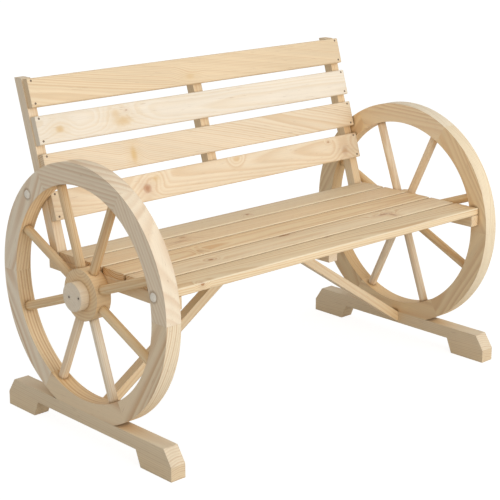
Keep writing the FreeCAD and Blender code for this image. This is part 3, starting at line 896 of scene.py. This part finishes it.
# %% Back slats
BACK_BOARDS = {
    "back_slat_1": {
        "log_place": (1.0, 0.085, 0.030), "slope": (0.5, 9.0), "ring": 4.2, "figure": 0.42,
        "knots": [mark(-33, -13, 16, 8, 0.4, RESIN)],
    },
    "back_slat_2": {
        **PALE, "slope": (0.4, 2.0), "figure": 0.3,
        "knots": [mark(-450, -3.5, 14, 9, 0.7, RESIN), mark(-267, -8.6, 30, 15, 0.6, RESIN),
                  mark(-285, 12, 16, 12, 0.4, RESIN), mark(-251, 16, 5, 2.5, 0.5, KNOT_BROWN)],
    },
    "back_slat_3": {
        **CREAM, "log_place": (2.0, -0.080, 0.040), "slope": (0.8, 15.0), "ring": 4.0, "figure": 0.46,
        "knots": [mark(-255, -3, 11, 24, 0.7, RESIN)],
    },
    "back_slat_4": {
        **CREAM, "log_place": (3.0, -0.020, 0.060), "slope": (1.6, 1.5), "ring": 5.2, "figure": 0.36,
        "knots": [mark(-235.7, -2.3, 13, 12, 0.85, PINK_BROWN, 0.2), mark(-204, 18, 12, 8, 0.5, RESIN),
                  mark(64, 25, 9, 6, 0.5, RESIN), mark(399.7, 22.1, 4, 2.6, 0.8, KNOT_BROWN),
                  mark(458, -8.4, 14, 16, 0.45, KNOT_BROWN)],
    },
    "left_back_upright": tones("F2E3CC", "CFA67A"),
    "back_middle_batten": tones("F2E1C5", "D2A670"),
}
print(f"{len(BACK_BOARDS)} pieces of the back chosen")

# %% [markdown]
# ## The seat, board by board
# The seat's boards are plainer. A few small brown knots and short stains break them up, and each board
# has its own shade of gold, so that the gaps between them are easier to follow.

# %% Seat slats
SEAT_BOARDS = {
    "seat_slat_1": {
        **tones("F3DFBD", "D3A263"),
        "knots": [edge_knot(-429, -38, 7, 6, 0.95, KNOT_BROWN), mark(28, 35, 9, 2.5, 0.8, KNOT_BROWN)],
    },
    "seat_slat_2": {
        "knots": [mark(-301, -1.5, 9, 5, 0.9, KNOT_BROWN, 0.5),
                  mark(-36, 33, 22, 5.5, 0.95, KNOT_BROWN, 0.3),
                  mark(285, 4, 18, 5, 0.85, PINK_BROWN, 0.3),
                  mark(303, -14, 6, 14, 0.7, PINK_BROWN, 0.3)],
    },
    "seat_slat_3": {
        **tones("F3DBB5", "D49C5C"),
        "knots": [mark(-271, -16, 6, 11, 0.45, KNOT_BROWN)],
    },
    "seat_slat_4": {
        **tones("F2DDBC", "D4A265"),
        "knots": [mark(-226, 21, 12, 8, 0.6, KNOT_BROWN), mark(-254, -1, 30, 6, 0.45, KNOT_BROWN)],
    },
    "seat_slat_5": {
        **tones("EFDEC0", "CFA370"),
        "knots": [mark(36, -6, 7, 4.5, 0.9, KNOT_BROWN, 0.3)],
    },
    "seat_middle_bearer": tones("F4E4CC", "D6AC78"),
    # The left knee brace's darker, browner tone is painted shade: it stands behind the left wheel.
    "left_knee_brace": tones("EDD8B6", "D0A067"),
}
print(f"{len(SEAT_BOARDS)} pieces of the seat chosen")

# %% [markdown]
# ## The wheels, piece by piece
# A wheelwright cuts felloes from whatever planks are at hand, so neighbours differ in the width of their
# rings and in tone. The spokes come from several sticks, some pale, some brown. Two filled nail holes show
# in each hub cap. After this list, every wooden piece is dressed.

# %% Wheels
WHEEL_PIECES = {
    "left_felloe_1": {"log_place": (1.0, 0.095, 0.030), "ring": 10.0, "figure": 0.36},
    "left_felloe_2": {"log_place": (1.0, 0.110, 0.040), "ring": 10.0, "figure": 0.5},
    "left_felloe_3": {"ring": 7.0, "figure": 0.65, **LIGHT},
    "left_felloe_4": {"ring": 8.0, "figure": 0.75, **LIGHT},
    "left_felloe_5": {"ring": 8.0, "figure": 0.7, **TAN},
    "left_felloe_6": {"ring": 7.0, "figure": 0.66, "curve_light": (WARM_BORE_BOUNCE, PALE_TREAD_LIGHT), **TAN},
    "right_felloe_2": tones("F6E2C2", "D0A476"),
    "right_felloe_4": {"figure": 0.62, **BROWN},
    **{f"left_spoke_{number}": BROWN for number in (2, 3, 4)},
    "left_spoke_6": PALE_SPOKE,
    "left_spoke_7": tones("FAEEDA", "DDBE94"),
    **{f"right_spoke_{number}": PALE_SPOKE for number in (2, 3, 6, 7)},
    "left_hub_cap": {"knots": [nail_hole(-24, 3), nail_hole(11, -1.5)]},
    "right_hub_cap": {"knots": [nail_hole(-15, 0), nail_hole(15, 0)]},
}
HAND_PICKED = {**BACK_BOARDS, **SEAT_BOARDS, **WHEEL_PIECES}
wooden = [name for name in sorted(nodes) if kind_of(name)]
for name in wooden:
    dress(name, wood_for(name, **HAND_PICKED.get(name, {})))
print(f"{len(wooden)} pieces of pine, {len(HAND_PICKED)} picked by hand")

# %% [markdown]
# ## Rounded slats
# The long edges of the slats are eased with a plane, then sanded until they feel round. The joinery has
# the plane's flat. A bevel modifier over it takes off the two ridges that the plane left, which is the
# sanding. It cuts into the wood only, so the slats keep their size.

# %% Sanded edges
SANDING = 1.35 * MM
SANDING_STEPS = 3
RIDGE = math.radians(30)
slats = [name for name in sorted(nodes) if "_slat_" in name]
for name in slats:
    sanded = nodes[name].modifiers.new("sanded_edges", "BEVEL")
    sanded.width = SANDING
    sanded.segments = SANDING_STEPS
    sanded.limit_method = "ANGLE"
    sanded.angle_limit = RIDGE
print(f"{len(slats)} slats sanded round")

# %% [markdown]
# ## Steel
# The coach screws are zinc plated: a light, warm grey with a cloudy bloom where the plating took unevenly.
# The nails are plain wire nails, gone brown. Bare metal would mirror the white studio and vanish in it, so
# both are only part metal, as dull plating and rust are. One recipe makes both.

# %% Steel finish
BLOOM_SPOTS = (700.0, 700.0, 700.0)
BLOOM_SPAN = (0.35, 0.68)
SCRATCH_SPOTS = (300.0, 2600.0, 2600.0)
SCRATCH_STRENGTH = 0.15
SCRATCH_DEPTH = 0.1 * MM
STEEL_EDGE = 0.4 * MM
STEEL_WEAR_AND_HIGHLIGHT = 0.6
STEEL_WORN_AND_LIT_EDGE = paint("E6E6E2")
ROUGH_SPAN = (0.3, 0.7)
ROUGH_RISE = 0.15


def steel(name, bright, dark, metal, rough):
    """Plated or rusted steel: two colours that cloud into each other, scratches, and edges worn bright and
    painted as highlights.
    """
    finish, tree = empty_material(name)
    spot = put(tree, "ShaderNodeTexCoord").outputs["Object"]
    bloom = mottle(tree, spot, BLOOM_SPOTS, detail=3.0).outputs[0]
    scratch = mottle(tree, spot, SCRATCH_SPOTS).outputs[0]
    colour = blend_colour(tree, ease(tree, bloom, *BLOOM_SPAN), paint(bright), paint(dark))
    # Edges worn bright and painted as highlights.
    colour, shaped = worn_and_highlit_edges(tree, colour, STEEL_EDGE, STEEL_WEAR_AND_HIGHLIGHT, STEEL_WORN_AND_LIT_EDGE)
    surface = put(tree, "ShaderNodeBsdfPrincipled")
    surface.inputs["Metallic"].default_value = metal
    fill(tree, surface, {
        "Base Color": colour, "Roughness": ease(tree, bloom, *ROUGH_SPAN, rough, rough + ROUGH_RISE),
        "Normal": relief(tree, scratch, SCRATCH_STRENGTH, SCRATCH_DEPTH, shaped),
    })
    show(tree, surface)
    return finish


zinc = steel("zinc_plate", "DED8CC", "D2CCC0", metal=0.4, rough=0.5)
nail_iron = steel("nail_iron", "85705C", "6A5846", metal=0.3, rough=0.5)
dress("coach_screws", zinc)
print("steel ready")

# %% [markdown]
# ## Nails and screws
# Small fasteners are lathe work: one half outline, turned once round. The outline starts at the point,
# runs up the shank and ends at the crown, with the wood's surface at height zero, so that each one is
# simply stood on its spot with its head facing outward. All of a kind share one mesh.

# %% Turned fasteners
TURN_STEPS = 20
WELD = 0.01 * MM
NAIL = ((0, -28), (1.0, -25), (1.0, -1.8), (2.4, -0.9), (2.8, -0.3), (2.7, 0.2), (1.7, 0.42), (0, 0.5))
SCREW_TIP = ((0, 0), (1.4, 5), (1.6, 7))
SCREW_HEAD = ((1.6, -3.8), (3.6, -0.6), (3.8, -0.1), (3.6, 0.3), (1.6, 0.3), (1.3, -1.2), (0, -1.4))
SCREW_LENGTHS = {"slat_screw": 38, "lap_screw": 23, "runner_screw": 70}


def screw_outline(length):
    """Half the outline of a wood screw of that length: its tip, its shank, its driven head."""
    tip = [(radius, height - length) for radius, height in SCREW_TIP]
    return (*tip, *SCREW_HEAD)


def turned(name, outline, finish):
    """A mesh made by turning a half outline, in millimetres, round the Z axis."""
    lathe = bmesh.new()
    corners = [lathe.verts.new((radius * MM, 0.0, height * MM)) for radius, height in outline]
    edges = [lathe.edges.new(pair) for pair in zip(corners, corners[1:])]
    bmesh.ops.spin(lathe, geom=corners + edges, axis=(0, 0, 1), cent=(0, 0, 0),
                   angle=math.tau, steps=TURN_STEPS, use_merge=True)
    bmesh.ops.remove_doubles(lathe, verts=lathe.verts, dist=WELD)
    bmesh.ops.recalc_face_normals(lathe, faces=lathe.faces)
    mesh = bpy.data.meshes.new(name)
    lathe.to_mesh(mesh)
    lathe.free()
    mesh.materials.append(finish)
    return mesh


def drive(name, mesh, spot, outward):
    """Stands a fastener on its spot, its head facing outward."""
    piece = bpy.data.objects.new(name, mesh)
    piece.location = spot
    piece.rotation_euler = Vector(outward).to_track_quat("Z", "Y").to_euler()
    scene.collection.objects.link(piece)
    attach(piece, "root")
    return piece


nail = turned("wire_nail", NAIL, nail_iron)
slat_screw, lap_screw, runner_screw = (
    turned(name, screw_outline(length), zinc) for name, length in SCREW_LENGTHS.items())
print(f"nail of {len(nail.polygons)} faces, screws of {len(slat_screw.polygons)}")

# %% [markdown]
# ## Nails through the back slats
# Each back slat is nailed twice to each upright, near its upper and its lower edge. The heads stay in
# sight, so they are set on the slat's own front face, level with the middle of the upright behind it.

# %% Nails
NAIL_FROM_TOP = 6.4 * MM
NAIL_FROM_BOTTOM = 8.2 * MM
SIDES = ("left", "right")


def middle_of(name):
    """The middle of a piece's box."""
    low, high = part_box(name)
    return (low + high) / 2


back_slats = [name for name in sorted(nodes) if name.startswith("back_slat_")]
nails = 0
for name in back_slats:
    middle, turn = board_frame(name, BACK_FACE)
    half = half_size(name, middle, turn)
    for side in SIDES:
        along = middle_of(f"{side}_back_upright").x
        for level in (half.y - NAIL_FROM_TOP, NAIL_FROM_BOTTOM - half.y):
            nails += 1
            spot = middle + turn.transposed() @ Vector((along, level, half.z))
            drive(f"back_nail_{nails:02d}", nail, spot, turn[2])
print(f"{nails} nails")

# %% [markdown]
# ## Screws from below and behind
# The seat slats are screwed from below, through the rails and the middle bearer, and the batten is screwed
# to the back slats from behind. So no screw shows from the front, but the bench is right from every side.

# %% Seat and batten screws
screws = []


def screw(kind, mesh, spot, outward):
    """Drives one more screw, numbered after the last."""
    screws.append(drive(f"{kind}_{len(screws) + 1:02d}", mesh, spot, outward))


seat_slats = [name for name in sorted(nodes) if name.startswith("seat_slat_")]
for bar in ("left_seat_rail", "seat_middle_bearer", "right_seat_rail"):
    for name in seat_slats:
        spot = Vector((middle_of(bar).x, middle_of(name).y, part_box(bar)[0].z))
        screw("seat_screw", slat_screw, spot, (0, 0, -1))

middle, turn = board_frame("back_middle_batten", (0, 1, 0))
half = half_size("back_middle_batten", middle, turn)
for name in back_slats:
    rise = turn[0].dot(middle_of(name) - middle)
    spot = middle + rise * turn[0] + half.z * turn[2]
    screw("batten_screw", slat_screw, spot, turn[2])
print(f"{len(screws)} screws so far")

# %% [markdown]
# ## Screws in the runners and the half-laps
# Long screws go up through the runner's undercut into the rim. Where an upright is halved over a seat
# rail, two short screws sit one above the other, a little apart, so that they don't split the same fibre.

# %% Runner and lap screws
RUNNER_SCREW_Y = 80 * MM
UNDERCUT = 38.5 * MM
LAP_FROM_FRONT = 18 * MM
LAP_SCREWS = ((-5 * MM, 6 * MM), (5 * MM, -6 * MM))
INWARD = {"left": 1, "right": -1}
for side in SIDES:
    runner_x = middle_of(f"{side}_runner").x
    for y in (-RUNNER_SCREW_Y, RUNNER_SCREW_Y):
        screw("runner_screw", runner_screw, (runner_x, y, UNDERCUT), (0, 0, -1))
    upright_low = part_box(f"{side}_back_upright")[0]
    rail_low, rail_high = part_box(f"{side}_seat_rail")
    face_x = rail_high.x if INWARD[side] > 0 else rail_low.x
    lap_middle = Vector((face_x, upright_low.y + LAP_FROM_FRONT, (rail_low.z + rail_high.z) / 2))
    for y, z in LAP_SCREWS:
        screw("lap_screw", lap_screw, lap_middle + Vector((0.0, y, z)), (INWARD[side], 0, 0))
print(f"{len(screws)} screws so far")

# %% [markdown]
# ## Screws in the knee braces
# A brace meets the runner and the bearer with its ends, where a straight screw finds no hold. So it is
# toe-screwed: the screw stands on the brace's back face, near the end, and leans over into the other wood.

# %% Brace screws
TOE_AWAY = 14 * MM
TOE_SINK = 1.5 * MM
TOE_LEAN = 0.766
TOE_STAND = 0.643
for side in SIDES:
    brace = f"{side}_knee_brace"
    low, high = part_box(brace)
    middle, turn = board_frame(brace, (0, 1, 0))
    for toward in (-INWARD[side], INWARD[side]):
        end_x = high.x if toward > 0 else low.x
        x = end_x - toward * TOE_AWAY
        z = middle.z + (x - middle.x) * turn[0].z / turn[0].x
        outward = Vector((-toward * TOE_LEAN, TOE_STAND, 0.0))
        screw("brace_screw", slat_screw, Vector((x, high.y, z)) - TOE_SINK * outward, outward)
print(f"{len(screws)} screws")
